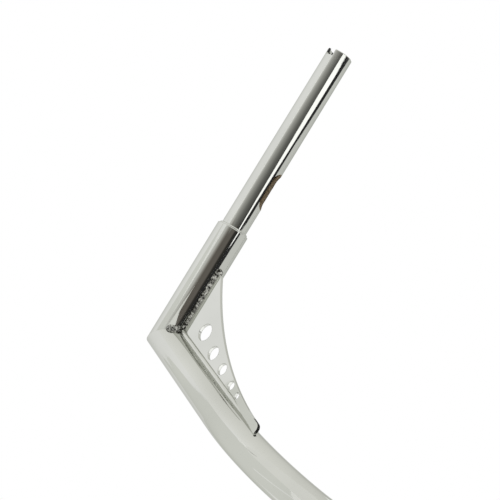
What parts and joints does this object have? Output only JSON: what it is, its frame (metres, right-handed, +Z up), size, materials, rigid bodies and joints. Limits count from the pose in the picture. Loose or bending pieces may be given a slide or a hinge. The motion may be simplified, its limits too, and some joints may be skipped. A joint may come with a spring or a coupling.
{
  "type": "ape hanger handlebar",
  "caption": "Chromed motorbike ape hanger bar: a U of fat tube with mitred, gusseted corners, stepped down to hand-grip and clamp tubes.",
  "frame": {"origin": "centre of the clamp tube, midway between the risers", "axes": "+X to the rider's right along the clamp tube, +Y forward, +Z up, with the legs leaned back as mounted and the grips level"},
  "size_m": [0.6622, 0.3887, 0.2587],
  "materials": {
    "chrome_tube": "polished chrome plate on steel tube, bare brownish steel inside the bores",
    "chrome_plate": "polished chrome plate on flat steel",
    "weld_bead": "rough chromed weld bead"
  },
  "bodies": {
    "root": {"clamp_tube": "chrome_tube", "left_upright_tube": "chrome_tube", "left_stub_tube": "chrome_tube", "left_grip_tube": "chrome_tube", "right_upright_tube": "chrome_tube", "right_stub_tube": "chrome_tube", "right_grip_tube": "chrome_tube", "left_gusset": "chrome_plate", "right_gusset": "chrome_plate", "left_mitre_weld": "weld_bead", "left_gusset_stub_weld": "weld_bead", "left_gusset_upright_weld": "weld_bead", "left_grip_step_weld": "weld_bead", "left_clamp_step_weld": "weld_bead", "right_mitre_weld": "weld_bead", "right_gusset_stub_weld": "weld_bead", "right_gusset_upright_weld": "weld_bead", "right_grip_step_weld": "weld_bead", "right_clamp_step_weld": "weld_bead"}
  },
  "joints": []
}
